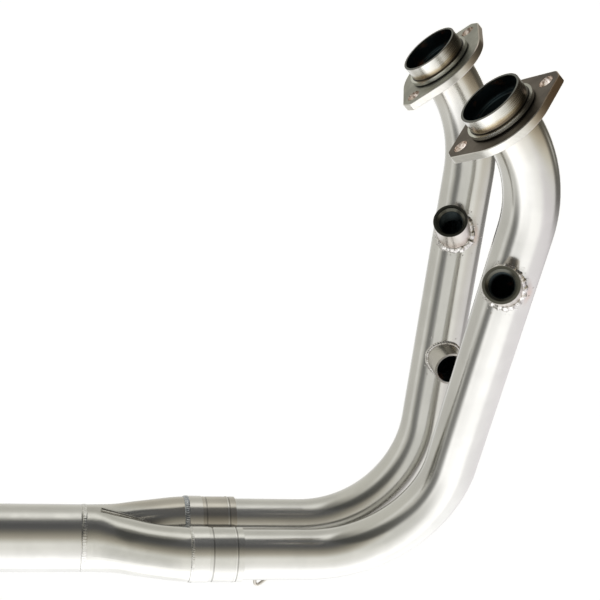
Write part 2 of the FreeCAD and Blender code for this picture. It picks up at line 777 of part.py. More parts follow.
# Ring welds: a low rounded bead standing on the outside of two butted tubes
def make_ring_weld(name, centre, radius, height, half, tubes):
    body = new_body(name + "_ring", placed(centre, Vec(1, 0, 0), Vec(0, 1, 0)))
    sketch = new_sketch(body, name + "_section", "XZ_Plane")
    base, base_text = total(radius)
    rise = size[height]
    wide = size[half]
    root = size["weld_root"]
    start = Vec(base, -wide, 0)
    end = Vec(base, wide, 0)
    crown = Vec(base + rise, 0, 0)
    foot_start = Vec(base - root, -wide, 0)
    foot_end = Vec(base - root, wide, 0)
    arc = sketch.addGeometry(Part.Arc(start, crown, end), False)
    upper = sketch.addGeometry(Part.LineSegment(end, foot_end), False)
    floor = sketch.addGeometry(Part.LineSegment(foot_end, foot_start), False)
    lower = sketch.addGeometry(Part.LineSegment(foot_start, start), False)
    middle = sketch.addGeometry(Part.Point(crown), True)
    sketch.addConstraint(Sketcher.Constraint("Coincident", arc, 1, lower, 2))
    sketch.addConstraint(Sketcher.Constraint("Coincident", arc, 2, upper, 1))
    sketch.addConstraint(Sketcher.Constraint("Coincident", upper, 2, floor, 1))
    sketch.addConstraint(Sketcher.Constraint("Coincident", floor, 2, lower, 1))
    sketch.addConstraint(Sketcher.Constraint("Horizontal", upper))
    sketch.addConstraint(Sketcher.Constraint("Horizontal", lower))
    sketch.addConstraint(Sketcher.Constraint("Symmetric", floor, 1, floor, 2, -1))
    sketch.addConstraint(Sketcher.Constraint("PointOnObject", middle, 1, arc))
    sketch.addConstraint(Sketcher.Constraint("PointOnObject", middle, 1, -1))
    for kind, places, value, text in (
        ("DistanceX", (-1, 1, lower, 2), base, base_text),
        ("DistanceX", (-1, 1, upper, 1), base, base_text),
        ("DistanceX", (-1, 1, floor, 1), base - root, base_text + " - sizes.weld_root"),
        ("DistanceX", (-1, 1, middle, 1), base + rise, base_text + " + sizes." + height),
        ("DistanceY", (floor, 2, floor, 1), wide * 2, "sizes.%s * 2" % half),
    ):
        index = sketch.addConstraint(Sketcher.Constraint(kind, *places, value))
        sketch.setExpression("Constraints[%d]" % index, text)
    revolve(body, sketch, name + "_bead")
    return trim(name, body, tubes)


def sleeve_weld(name, run, tubes):
    centre = tail_centre(run, size["joint_forward"])
    return make_ring_weld(name, centre, "+sleeve_radius", "sleeve_bead", "sleeve_bead_half", tubes)


def outlet_joint_weld(name, tubes):
    centre = Vec(size["outlet_length"], 0, 0)
    return make_ring_weld(name, centre, "+outlet_radius", "outlet_bead", "outlet_bead_half", tubes)


parts += [
    sleeve_weld("right_sleeve_weld", right, [right_half, right_sleeve]),
    sleeve_weld("left_sleeve_weld", left, [left_half, left_sleeve]),
    outlet_joint_weld("outlet_weld", [right_half, left_half, outlet]),
]


# Seam welds: beads laid in the valleys where the two half shells meet
def valley(number):
    """Point of the valley at one of the collector's sections."""
    back, offset, radius = section(number)
    return size["joint_forward"] - back, math.sqrt(total(radius)[0] ** 2 - offset ** 2)


def make_seam_weld(name, side):
    body = new_body(name + "_bead", placed(Vec(0, 0, 0), Vec(0, 0, side), Vec(1, 0, 0)))
    path = new_sketch(body, name + "_path", "XZ_Plane")
    points = []
    for number in range(1, len(STATIONS)):
        forward, height = valley(number)
        points.append(Vec(forward, height + size["seam_bead"] * 0.4, 0))
    curve = Part.BSplineCurve()
    curve.interpolate(points)
    path.addGeometry(curve, False)
    heading = curve.tangent(curve.FirstParameter)[0]
    frame = placed(Vec(points[0].x, 0, side * points[0].y), Vec(heading.x, 0, side * heading.y), Vec(0, 1, 0))
    round_end = new_sketch(body, name + "_round", offset=body.Placement.inverse() * frame)
    add_circle(round_end, "+seam_bead")
    bead = body.newObject("PartDesign::AdditivePipe", name + "_sweep")
    bead.Profile = round_end
    bead.Spine = (path, ["Edge1"])
    body.Tip = bead
    return trim(name, body, [right_half, left_half])


parts += [make_seam_weld("upper_seam_weld", 1), make_seam_weld("lower_seam_weld", -1)]


# Spring hook: leaning loop of bent wire under the right pipe, just ahead of its sleeve
def make_hook(name):
    centre = tail_centre(right, size["hook_forward"])
    body = new_body(name + "_wire", placed(centre, Vec(0, 1, 0), Vec(1, 0, 0)))
    path = new_sketch(body, name + "_path")
    foot = size["pipe_radius"] - size["tube_wall"]
    crown = size["pipe_radius"] + size["hook_reach"] + size["hook_wire"]
    lead = Vec(size["hook_lead"], foot, 0)
    apex = Vec(0, crown, 0)
    trail = Vec(-size["hook_trail"], foot, 0)
    ahead = (lead - apex).normalize()
    behind = (trail - apex).normalize()
    half = ahead.getAngle(behind) / 2
    bend = size["hook_bend"]
    first = apex + ahead * (bend / math.tan(half))
    last = apex + behind * (bend / math.tan(half))
    middle = (ahead + behind).normalize()
    top = apex + middle * (bend / math.sin(half) - bend)
    path.addGeometry(Part.LineSegment(lead, first), False)
    path.addGeometry(Part.Arc(first, top, last), False)
    path.addGeometry(Part.LineSegment(last, trail), False)
    path.addGeometry(Part.Point(apex), True)
    path.addConstraint(Sketcher.Constraint("PointOnObject", 3, 1, 0))
    path.addConstraint(Sketcher.Constraint("PointOnObject", 3, 1, 2))
    path.addConstraint(Sketcher.Constraint("PointOnObject", 3, 1, -2))
    arc_start = 1 if path.Geometry[1].StartPoint.distanceToPoint(first) < 0.001 else 2
    path.addConstraint(Sketcher.Constraint("Tangent", 0, 2, 1, arc_start))
    path.addConstraint(Sketcher.Constraint("Tangent", 2, 1, 1, 3 - arc_start))
    reach = "sizes.pipe_radius + sizes.hook_reach + sizes.hook_wire"
    floor = "sizes.pipe_radius - sizes.tube_wall"
    for kind, places, value, text in (
        ("Radius", (1,), bend, "sizes.hook_bend"),
        ("DistanceY", (-1, 1, 3, 1), crown, reach),
        ("DistanceX", (-1, 1, 0, 1), lead.x, "sizes.hook_lead"),
        ("DistanceX", (2, 2, -1, 1), -trail.x, "sizes.hook_trail"),
        ("DistanceY", (-1, 1, 0, 1), foot, floor),
        ("DistanceY", (-1, 1, 2, 2), foot, floor),
    ):
        index = path.addConstraint(Sketcher.Constraint(kind, *places, value))
        path.setExpression("Constraints[%d]" % index, text)
    section_round = new_sketch(body, name + "_round", offset=placed(lead, ahead, Vec(0, 0, 1)))
    add_circle(section_round, "+hook_wire")
    sweep = body.newObject("PartDesign::AdditivePipe", name + "_sweep")
    sweep.Profile = section_round
    sweep.Spine = (path, ["Edge1", "Edge2", "Edge3"])
    body.Tip = sweep
    start = tail_centre(right, size["hook_forward"] - size["hook_lead"])
    along = placed(start, Vec(1, 0, 0), Vec(0, 1, 0))
    core = rod(name + "_core", along, "sizes.pipe_radius", "sizes.hook_lead * 3")
    return trim(name, body, [core])


parts += [make_hook("spring_hook")]
doc.recompute()

# Check every feature, then write one file per named piece
for item in doc.Objects:
    if any(word in item.State for word in ("Invalid", "Error")):
        raise RuntimeError("feature not built: " + item.Name)
for item in parts:
    if item.Shape.isNull() or not item.Shape.isValid():
        raise RuntimeError("shape not sound: " + item.Label)
    item.Shape.exportStep("parts/" + item.Label + ".step")
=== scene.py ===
import json
import math
import random

import bmesh
import bpy
from mathutils import Matrix, Vector


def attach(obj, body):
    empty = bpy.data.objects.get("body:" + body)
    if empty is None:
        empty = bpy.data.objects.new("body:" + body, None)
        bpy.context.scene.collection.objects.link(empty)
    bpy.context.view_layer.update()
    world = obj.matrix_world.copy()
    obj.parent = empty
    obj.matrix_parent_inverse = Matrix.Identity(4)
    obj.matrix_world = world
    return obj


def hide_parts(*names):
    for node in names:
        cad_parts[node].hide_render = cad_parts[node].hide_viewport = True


# Looks of a two-into-one exhaust header. Everything is in metres in the row frame;
# the sizes below are given in millimetres where that is easier to read.

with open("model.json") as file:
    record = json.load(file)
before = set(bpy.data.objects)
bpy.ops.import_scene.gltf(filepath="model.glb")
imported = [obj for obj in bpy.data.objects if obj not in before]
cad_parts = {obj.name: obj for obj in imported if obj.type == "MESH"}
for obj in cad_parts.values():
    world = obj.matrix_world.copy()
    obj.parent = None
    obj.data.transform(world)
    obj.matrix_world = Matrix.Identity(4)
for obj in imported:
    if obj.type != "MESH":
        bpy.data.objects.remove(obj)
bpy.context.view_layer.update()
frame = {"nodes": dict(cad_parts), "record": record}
nodes = frame["nodes"]
mounts = {mount["name"]: mount for mount in frame["record"]["mounts"]}
MM = 0.001

# Sizes that the looks need, as the model has them
PIPE_RADIUS = 19.05 * MM
TUBE_WALL = 1.5 * MM
UPPER_BEND = 100.0 * MM
LOWER_BEND = 95.0 * MM
PORT = Vector((325.0, 70.6, 372.6)) * MM
PORT_TILT = math.radians(47.0)
PORT_RUN = 64.0 * MM
CORNER = Vector((355.2, 21.6, 0.0)) * MM
BRANCH_FORWARD = 175.0 * MM
OUTLET_JOINT = 96.0 * MM
SLEEVE_RADIUS = 20.55 * MM
OUTLET_RADIUS = 25.0 * MM
BOSS_RADIUS = 12.85 * MM
BOSS_REACH = 39.0 * MM
BOSS_STATION = {"right": 93.0 * MM, "left": 99.0 * MM}
BALANCE_RADIUS = 12.7 * MM
STUD_PITCH = 67.0 * MM
STUD_HOLE = 5.0 * MM
FLANGE_TURN = {"right": math.radians(82.0), "left": math.radians(114.0)}
BALANCE_STATION = 185.6 * MM
BALANCE_BORE = 10.9 * MM
BOSS_MOUTH = 10.9 * MM
BOSS_BORE = 9.0 * MM
SPIGOT_RADIUS = 22.0 * MM
CENTRE = Vector((0, 0, 0))
AHEAD = Vector((1, 0, 0))
ACROSS = Vector((0, 1, 0))

# Surface settings shared by several metals
NOISE_ROUGHNESS = 0.55
SOOT_ROUGHNESS = 0.55
WEAR_SIZE = 26.0 * MM
PIPE_GLOSS = {"right": (0.155, 0.125), "left": (0.19, 0.16)}

# Metal tones, as linear colours
STEEL = (0.72, 0.715, 0.69)
SHELL_STEEL = (0.70, 0.695, 0.66)
# the far (left) sleeve is coloured darker and browner than the near one
SLEEVE_STEEL = {"right": (0.72, 0.715, 0.685), "left": (0.62, 0.59, 0.535)}
STUB_STEEL = (0.60, 0.58, 0.54)
SOOT_BLACK = (0.075, 0.105, 0.12)
RUST_BROWN = (0.36, 0.20, 0.135)
# painted shade on the pipe above each sensor boss
BOSS_SHADE_GREY = (0.10, 0.098, 0.09)
COPPER_TINT = (0.64, 0.38, 0.28)
STRAW_TINT = (0.70, 0.64, 0.54)
# painted shade for the sleeve's rolled grooves
GROOVE_SHADE = (0.20, 0.195, 0.18)
# painted highlight for the sleeve's raised lip
LIP_HIGHLIGHT = (0.80, 0.795, 0.77)
# painted shade along the collector's seam crease
SEAM_SHADE = (0.44, 0.425, 0.39)
FAR_SHELL_BROWN = (0.53, 0.49, 0.42)
SPIGOT_TINTS = [
    (0.0, (0.74, 0.735, 0.70)), (0.45, (0.70, 0.68, 0.62)), (0.66, (0.52, 0.44, 0.30)),
    (0.84, (0.27, 0.21, 0.145)), (1.0, (0.20, 0.17, 0.14)),
]
SPIGOT_BROWN = (0.095, 0.083, 0.062)
RING_CLEAN = (0.70, 0.71, 0.65)
RING_BROWN = (0.28, 0.27, 0.235)
# painted shade in the collar's corner and on its mouth rim, and a painted shadow on the seat below the
# ring
CORNER_SHADE = (0.045, 0.04, 0.035)
SEAT_SHADOW = (0.035, 0.035, 0.033)
MOUTH_RIM_SHADE = (0.085, 0.075, 0.065)
LIP_GREY = (0.15, 0.16, 0.142)
EDGE_DULL = (0.64, 0.625, 0.58)
EDGE_BRIGHT = (0.84, 0.83, 0.79)
EDGE_BROWN = (0.40, 0.29, 0.19)
HOLE_BROWN = (0.36, 0.28, 0.23)
HOLE_BRIGHT = (0.86, 0.79, 0.73)
# face tones, dark and light, and how far the front edge is browned
FLANGE_TONES = {
    "right": ((0.085, 0.068, 0.054), (0.15, 0.128, 0.105), 0.95),
    "left": ((0.27, 0.268, 0.235), (0.44, 0.44, 0.39), 0.45),
}
BARREL_DULL = (0.62, 0.58, 0.54)
BARREL_BRIGHT = (0.74, 0.70, 0.66)
BARREL_WARM = (0.55, 0.46, 0.40)
# painted shade on the boss's mouth face, countersink and bore, and a painted highlight on its rim
SHADED_FACE_DARK = (0.085, 0.085, 0.072)
SHADED_FACE_LIGHT = (0.24, 0.24, 0.205)
RIM_HIGHLIGHT = (0.55, 0.54, 0.50)
SHADED_CONE_DARK = (0.05, 0.05, 0.042)
SHADED_CONE_LIGHT = (0.20, 0.20, 0.17)
BORE_SHADE_BLACK = (0.012, 0.018, 0.021)
PIT_DARK = (0.06, 0.055, 0.055)

# Camera and floor
CAMERA_PLACE = Vector((0.02991, -0.85752, 0.55365))
CAMERA_TARGET = Vector((0.23726, 0.0, 0.19960))
CAMERA_ROLL = math.radians(7.602)
LENS_LENGTH = 79.86
SENSOR_WIDTH = 36.0
FLOOR_PLACE = Vector((0.2, 0.0, -0.42))
FLOOR_HALF = 6.0
FLOOR_TONE = (0.86, 0.86, 0.86, 1.0)
FLOOR_GLOW = 0.74


class Run:
    """Centreline of one primary pipe, from the port down the leg to the collector."""

    def __init__(self, side):
        mirror = Vector((1, side, 1))
        self.out = Vector((-math.sin(PORT_TILT), 0, math.cos(PORT_TILT)))
        self.port = PORT * mirror
        self.corner = CORNER * mirror
        self.shoulder = self.port - self.out * PORT_RUN
        self.down = (self.corner - self.shoulder).normalized()
        self.back = Vector((-1, 0, 0))
        first = self.down.angle(-self.out)
        second = self.down.angle(self.back)
        self.bend_one = self.shoulder + self.out * UPPER_BEND * math.tan(first / 2)
        self.leg_start = self.shoulder + self.down * UPPER_BEND * math.tan(first / 2)
        self.bend_two = self.corner - self.down * LOWER_BEND * math.tan(second / 2)
        self.tail_start = self.corner + self.back * LOWER_BEND * math.tan(second / 2)

    def station(self, distance):
        """Point on the leg's line, measured down from the shoulder."""
        return self.shoulder + self.down * distance


RUNS = {"right": Run(-1), "left": Run(1)}


class Graph:
    """Builds one node tree: every method adds a node and returns its output socket."""

    def __init__(self, tree):
        self.tree = tree

    def node(self, kind, **settings):
        item = self.tree.nodes.new(kind)
        for key, value in settings.items():
            setattr(item, key, value)
        return item

    def feed(self, socket, value):
        if isinstance(value, bpy.types.NodeSocket):
            self.tree.links.new(value, socket)
        elif isinstance(value, Vector):
            socket.default_value = tuple(value)
        else:
            socket.default_value = value

    def math(self, operation, first, second=0.0, third=0.0):
        item = self.node("ShaderNodeMath", operation=operation)
        for socket, value in zip(item.inputs, (first, second, third)):
            self.feed(socket, value)
        return item.outputs[0]

    def times(self, first, second):
        return self.math("MULTIPLY", first, second)

    def plus(self, first, second):
        return self.math("ADD", first, second)

    def length(self, first, second):
        """Length of the vector with these two square parts."""
        squares = self.math("POWER", first, 2.0), self.math("POWER", second, 2.0)
        return self.math("SQRT", self.plus(*squares))

    def vector(self, operation, first, second=(0.0, 0.0, 0.0), scale=1.0):
        item = self.node("ShaderNodeVectorMath", operation=operation)
        self.feed(item.inputs[0], first)
        self.feed(item.inputs[1], second)
        if operation == "SCALE":
            self.feed(item.inputs[3], scale)
        return item.outputs["Value"] if operation in ("DOT_PRODUCT", "LENGTH") else item.outputs[0]

    def dot(self, first, second):
        return self.vector("DOT_PRODUCT", first, second)

    def minus(self, first, second):
        return self.vector("SUBTRACT", first, second)

    def smooth(self, value, low, high, start=0.0, end=1.0):
        """Eased step: start below low, end above high."""
        item = self.node("ShaderNodeMapRange", interpolation_type="SMOOTHSTEP", clamp=True)
        self.feed(item.inputs["Value"], value)
        for key, number in (("From Min", low), ("From Max", high), ("To Min", start), ("To Max", end)):
            self.feed(item.inputs[key], number)
        return item.outputs[0]

    def fade(self, value, low, high):
        """Eased step down: 1 below low, 0 above high."""
        return self.smooth(value, low, high, 1.0, 0.0)

    def ramp(self, value, stops):
        """Colour ramp; a stop is (place, grey) or (place, (r, g, b))."""
        item = self.node("ShaderNodeValToRGB")
        elements = item.color_ramp.elements
        while len(elements) < len(stops):
            elements.new(0.5)
        for element, (place, colour) in zip(elements, stops):
            element.position = place
            tone = (colour,) * 3 if isinstance(colour, (int, float)) else colour
            element.color = (*tone, 1.0)
        self.feed(item.inputs[0], value)
        return item.outputs[0]

    def mix(self, factor, first, second):
        """first where factor is 0, second where it is 1; each a colour or a socket."""
        item = self.node("ShaderNodeMix", data_type="RGBA")
        self.feed(item.inputs[0], factor)
        for socket, value in ((item.inputs[6], first), (item.inputs[7], second)):
            self.feed(socket, (*value, 1.0) if isinstance(value, tuple) else value)
        return item.outputs[2]

    def noise(self, vector, scale, detail):
        item = self.node("ShaderNodeTexNoise")
        self.feed(item.inputs["Vector"], vector)
        for key, number in (("Scale", scale), ("Detail", detail), ("Roughness", NOISE_ROUGHNESS)):
            self.feed(item.inputs[key], number)
        return item.outputs["Fac"]

    def bands(self, value):
        """Noise that changes along one value only."""
        item = self.node("ShaderNodeCombineXYZ")
        self.feed(item.inputs[0], value)
        return self.noise(item.outputs[0], 1.0, 2.0)


class Metal(Graph):
    """One metal material, with the surface point ready as self.point."""

    def __init__(self, name):
        self.material = bpy.data.materials.new(name)
        self.material.use_nodes = True
        super().__init__(self.material.node_tree)
        self.tree.nodes.clear()
        self.shader = self.node("ShaderNodeBsdfPrincipled")
        self.shader.inputs["Metallic"].default_value = 1.0
        output = self.node("ShaderNodeOutputMaterial")
        self.tree.links.new(self.shader.outputs[0], output.inputs[0])
        self.point = self.node("ShaderNodeTexCoord").outputs["Object"]
        self.normal = self.node("ShaderNodeNewGeometry").outputs["Normal"]

    def finish(self, colour, roughness, height=None, depth=0.1 * MM, strength=0.4):
        self.feed(self.shader.inputs["Base Color"], colour)
        self.feed(self.shader.inputs["Roughness"], roughness)
        if height is not None:
            bump = self.node("ShaderNodeBump")
            bump.inputs["Strength"].default_value = strength
            bump.inputs["Distance"].default_value = depth
            self.feed(bump.inputs["Height"], height)
            self.feed(self.shader.inputs["Normal"], bump.outputs[0])
        return self.material

    def grain(self, along, spacing=0.35 * MM):
        """Fine polishing lines that run round whatever along measures."""
        drift = self.times(self.noise(self.point, 60.0, 2.0), 0.6 * MM)
        return self.bands(self.math("DIVIDE", self.plus(along, drift), spacing))

    def blotch(self, size):
        """Cloudy patches of about that size."""
        return self.noise(self.point, 1.0 / size, 4.0)

    def waver(self, size, reach):
        """Distance that wanders by about half of reach either way."""
        return self.times(self.math("SUBTRACT", self.blotch(size), 0.5), reach)

    def polish(self, patch, dull, bright, lines, relief):
        """Roughness from dull to bright by patch, raised along the polishing lines."""
        return self.plus(self.smooth(patch, 0.0, 1.0, dull, bright), self.times(lines, relief))

    def apart(self, place, direction):
        """How far the surface point lies from place, along direction."""
        return self.dot(self.minus(self.point, place), direction)

    def off_axis(self, start, direction):
        """Distance along a line and distance away from it."""
        away = self.minus(self.point, start)
        along = self.dot(away, direction)
        across = self.minus(away, self.vector("SCALE", tuple(direction), scale=along))
        return along, self.vector("LENGTH", across)

    def bend(self, start, heading, target, radius, travelled):
        """Distance travelled round a bend and distance from its centreline."""
        inward = (target - heading * heading.dot(target)).normalized()
        centre = start + inward * radius
        binormal = heading.cross(inward)
        away = self.minus(self.point, centre)
        outward = self.dot(away, -inward)
        forward = self.dot(away, heading)
        angle = self.math("ARCTAN2", forward, outward)
        radial = self.math("SUBTRACT", self.length(outward, forward), radius)
        off = self.length(radial, self.dot(away, binormal))
        return self.math("MULTIPLY_ADD", angle, radius, travelled), off

    def choose(self, value, limit, below, above):
        """below where value is under limit, above elsewhere."""
        over = self.math("GREATER_THAN", value, limit)
        under = self.math("SUBTRACT", 1.0, over)
        return self.plus(self.times(above, over), self.times(below, under))

    def pipe_place(self, run):
        """Distance down a primary pipe from its port, and distance from its centreline."""
        first = (run.bend_one - run.port).length
        first_angle = run.down.angle(-run.out)
        second = first + UPPER_BEND * first_angle
        third = second + (run.bend_two - run.leg_start).length
        fourth = third + LOWER_BEND * run.down.angle(run.back)
        top = self.off_axis(run.port, -run.out)
        bend_one = self.bend(run.bend_one, -run.out, run.down, UPPER_BEND, first)
        leg, leg_off = self.off_axis(run.leg_start, run.down)
        leg = self.plus(leg, second)
        bend_two = self.bend(run.bend_two, run.down, run.back, LOWER_BEND, third)
        tail, tail_off = self.off_axis(run.tail_start, run.back)
        tail = self.plus(tail, fourth)
        # each choice takes the stretch before its limit, or else what follows it
        place = (tail, tail_off)
        for measure, limit, stretch in (
            (tail, fourth, bend_two),
            (leg, third, (leg, leg_off)),
            (leg, second, bend_one),
            (top[0], first, top),
        ):
            place = [self.choose(measure, limit, *pair) for pair in zip(stretch, place)]
        return place


def wear(metal, colour, amount=0.35):
    """Uneven handling marks: slightly lighter and darker patches of the same metal."""
    patch = metal.smooth(metal.blotch(WEAR_SIZE), 0.38, 0.66)
    lighter = tuple(min(1.0, c * (1 + 0.05 * amount)) for c in colour)
    darker = tuple(c * (1 - 0.10 * amount) for c in colour)
    return metal.mix(patch, darker, lighter), patch


def soot(metal, colour, inside):
    """Blue-black soot with rust patches wherever inside is 1."""
    rust = metal.smooth(metal.blotch(11 * MM), 0.56, 0.68)
    return metal.mix(inside, colour, metal.mix(rust, SOOT_BLACK, RUST_BROWN))


def boss_foot(side):
    """Point on the pipe's centreline under a sensor boss, and the boss's axis."""
    axis = Vector(mounts[side + "_sensor_bore"]["axis"])
    return RUNS[side].station(BOSS_STATION[side]), axis


def pipe_material(side):
    """Polished primary pipe: copper tint and painted shade by the boss, straw by the port, soot
    inside.
    """
    run = RUNS[side]
    metal = Metal(side + "_pipe_steel")
    along, off = metal.pipe_place(run)
    colour, patch = wear(metal, STEEL)
    lines = metal.grain(along)
    # copper tint beside the sensor boss, and painted shade on the pipe just above the boss
    foot, axis = boss_foot(side)
    reach, away = metal.off_axis(foot, axis)
    spread = metal.plus(away, metal.waver(5 * MM, 4 * MM))
    outer_side = metal.smooth(reach, 5 * MM, 12 * MM)
    upward = metal.apart(foot, -run.down)
    forward = metal.apart(foot, AHEAD)
    close = metal.times(metal.fade(spread, 14.5 * MM, 19.5 * MM), outer_side)
    boss_shade = metal.times(close, metal.smooth(upward, 9 * MM, 14 * MM))
    colour = metal.mix(metal.times(boss_shade, 0.34), colour, BOSS_SHADE_GREY)
    copper = metal.times(close, metal.smooth(forward, 4 * MM, 12 * MM))
    copper = metal.times(copper, metal.smooth(upward, -8 * MM, 6 * MM))
    colour = metal.mix(metal.times(copper, 0.8), colour, COPPER_TINT)
    wander = metal.times(metal.blotch(16 * MM), 14 * MM)
    port_heat = metal.smooth(metal.plus(along, wander), 26 * MM, 60 * MM, 0.35, 0.0)
    colour = metal.mix(port_heat, colour, STRAW_TINT)
    inside = metal.fade(off, PIPE_RADIUS - 1.1 * MM, PIPE_RADIUS - 0.5 * MM)
    colour = soot(metal, colour, inside)
    dull, bright = PIPE_GLOSS[side]
    rough = metal.polish(patch, dull, bright, lines, 0.07)
    rough = metal.math("MAXIMUM", rough, metal.times(inside, SOOT_ROUGHNESS))
    return metal.finish(colour, rough, lines, 0.02 * MM, 0.25)


def straight_tube_material(name, colour, start, direction, bore, rough):
    """Brushed tube along one line, sooty inside its bore."""
    metal = Metal(name)
    along, off = metal.off_axis(start, direction)
    base, patch = wear(metal, colour)
    lines = metal.grain(along)
    inside = metal.fade(off, bore - 0.1 * MM, bore + 0.5 * MM)
    base = soot(metal, base, inside)
    value = metal.polish(patch, rough + 0.04, rough - 0.03, lines, 0.08)
    value = metal.math("MAXIMUM", value, metal.times(inside, SOOT_ROUGHNESS))
    return metal.finish(base, value, lines, 0.02 * MM, 0.3)


def sleeve_material(side):
    """Slip sleeve: brushed band with painted shade in the rolled grooves and a painted highlight on
    the raised lip.
    """
    metal = Metal(side + "_sleeve_steel")
    along, off = metal.off_axis(Vector((0.0, RUNS[side].corner.y, 0.0)), AHEAD)
    base, patch = wear(metal, SLEEVE_STEEL[side], 0.8)
    lines = metal.grain(along)
    # painted shade in the rolled grooves
    groove = metal.fade(off, SLEEVE_RADIUS - 0.34 * MM, SLEEVE_RADIUS - 0.16 * MM)
    base = metal.mix(metal.times(groove, 0.5), base, GROOVE_SHADE)
    # painted highlight on the raised lip
    proud = metal.smooth(off, SLEEVE_RADIUS + 0.08 * MM, SLEEVE_RADIUS + 0.22 * MM)
    base = metal.mix(metal.times(proud, 0.6), base, LIP_HIGHLIGHT)
    inside = metal.fade(off, PIPE_RADIUS + 0.1 * MM, PIPE_RADIUS + 0.4 * MM)
    base = soot(metal, base, inside)
    return metal.finish(base, metal.polish(patch, 0.15, 0.13, lines, 0.05), lines, 0.02 * MM, 0.3)


def collector_material():
    """Pressed half shells: brushed lengthways, with painted shade darkening toward the seam crease."""
    metal = Metal("collector_shell_steel")
    colour, patch = wear(metal, SHELL_STEEL, 0.6)
    stretched = metal.vector("MULTIPLY", metal.point, (40.0, 900.0, 900.0))
    lines = metal.noise(stretched, 1.0, 2.0)
    across = metal.dot(metal.point, ACROSS)
    # painted shade: the shells darken toward the seam crease
    seam = metal.fade(metal.math("ABSOLUTE", across), 2 * MM, 6 * MM)
    colour = metal.mix(metal.times(seam, 0.35), colour, SEAM_SHADE)
    # the far half shell is coloured browner and darker than the near half
    far = metal.smooth(across, 5 * MM, 16 * MM)
    colour = metal.mix(metal.times(far, 0.7), colour, FAR_SHELL_BROWN)
    return metal.finish(colour, metal.polish(patch, 0.145, 0.12, lines, 0.05), lines, 0.02 * MM, 0.3)


def collar_material(side):
    """Turned spigot with straw and brown tint near the ring, painted shade on the mouth rim and in the
    corner by the ring, a painted shadow on the seat below the ring, and a black bore.
    """
    run = RUNS[side]
    metal = Metal(side + "_collar_steel")
    along, off = metal.off_axis(run.port, -run.out)
    lines = metal.grain(along, 0.25 * MM)
    uneven = metal.waver(14 * MM, 5 * MM)
    place = metal.smooth(metal.plus(along, uneven), 0.0, 13 * MM)
    colour = metal.ramp(place, SPIGOT_TINTS)
    # brown oxide deepens round the front of the spigot
    ahead = metal.apart(run.port, (0.68, -0.12, 0.73))
    browned = metal.smooth(metal.plus(ahead, uneven), -2 * MM, 17 * MM)
    colour = metal.mix(metal.times(browned, 0.9), colour, SPIGOT_BROWN)
    ring = metal.smooth(off, SPIGOT_RADIUS + 0.5 * MM, SPIGOT_RADIUS + 0.9 * MM)
    colour = metal.mix(ring, colour, metal.mix(metal.times(browned, 0.6), RING_CLEAN, RING_BROWN))
    # painted shade in the corner between spigot and ring, and a painted shadow on the seat below the
    # ring
    spigot = metal.fade(off, SPIGOT_RADIUS + 0.5 * MM, SPIGOT_RADIUS + 0.9 * MM)
    corner = metal.times(metal.smooth(along, 10.1 * MM, 10.7 * MM), spigot)
    colour = metal.mix(metal.times(corner, 0.9), colour, CORNER_SHADE)
    colour = metal.mix(metal.smooth(along, 13.35 * MM, 13.6 * MM), colour, SEAT_SHADOW)
    # painted shade on the mouth rim
    mouth = metal.fade(along, 0.15 * MM, 0.6 * MM)
    colour = metal.mix(metal.times(mouth, 0.93), colour, MOUTH_RIM_SHADE)
    inside = metal.fade(off, SPIGOT_RADIUS - 1.1 * MM, SPIGOT_RADIUS - 0.5 * MM)
    colour = soot(metal, colour, inside)
    lip = metal.times(inside, metal.fade(along, 0.9 * MM, 2.6 * MM))
    colour = metal.mix(metal.times(lip, 0.9), colour, LIP_GREY)
    rough = metal.plus(0.19, metal.times(lines, 0.14))
    rough = metal.math("MAXIMUM", rough, metal.times(inside, 0.3))
    return metal.finish(colour, rough, lines, 0.03 * MM, 0.35)


def stud_centres(side):
    """Points on the axes of one flange's two stud holes."""
    run = RUNS[side]
    turn = FLANGE_TURN[side]
    toward = ACROSS * math.cos(turn) + run.out.cross(ACROSS) * math.sin(turn)
    return [run.port + toward * STUD_PITCH / 2, run.port - toward * STUD_PITCH / 2]


def flange_material(side, face_dark, face_light, warmth):
    """Flat plate: dull oxidised faces, brighter sawn edges and clean hole walls."""
    run = RUNS[side]
    metal = Metal(side + "_flange_steel")
    facing = metal.math("ABSOLUTE", metal.dot(metal.normal, tuple(run.out)))
    flat = metal.smooth(facing, 0.80, 0.97)
    brush = metal.vector("MULTIPLY", metal.point, (500.0, 60.0, 500.0))
    lines = metal.noise(brush, 1.0, 3.0)
    face = metal.mix(metal.smooth(metal.blotch(12 * MM), 0.35, 0.7), face_dark, face_light)
    face = metal.mix(metal.times(lines, 0.35), face, tuple(c * 1.35 for c in face_light))
    cross = metal.vector("MULTIPLY", metal.point, (260.0, 260.0, 700.0))
    saw = metal.noise(cross, 1.0, 2.0)
    edge = metal.mix(saw, EDGE_DULL, EDGE_BRIGHT)
    warm = metal.smooth(metal.apart(run.port, (0.75, -0.15, 0.64)), 4 * MM, 36 * MM)
    edge = metal.mix(metal.times(warm, warmth), edge, EDGE_BROWN)
    holes = [metal.off_axis(centre, run.out)[1] for centre in stud_centres(side)]
    bored = metal.fade(metal.math("MINIMUM", *holes), STUD_HOLE + 0.05 * MM, STUD_HOLE + 0.5 * MM)
    marks = metal.smooth(metal.blotch(1.6 * MM), 0.36, 0.56)
    edge = metal.mix(bored, edge, metal.mix(marks, HOLE_BROWN, HOLE_BRIGHT))
    colour = metal.mix(flat, edge, face)
    return metal.finish(colour, metal.polish(flat, 0.24, 0.34, lines, 0.12), lines, 0.04 * MM, 0.3)


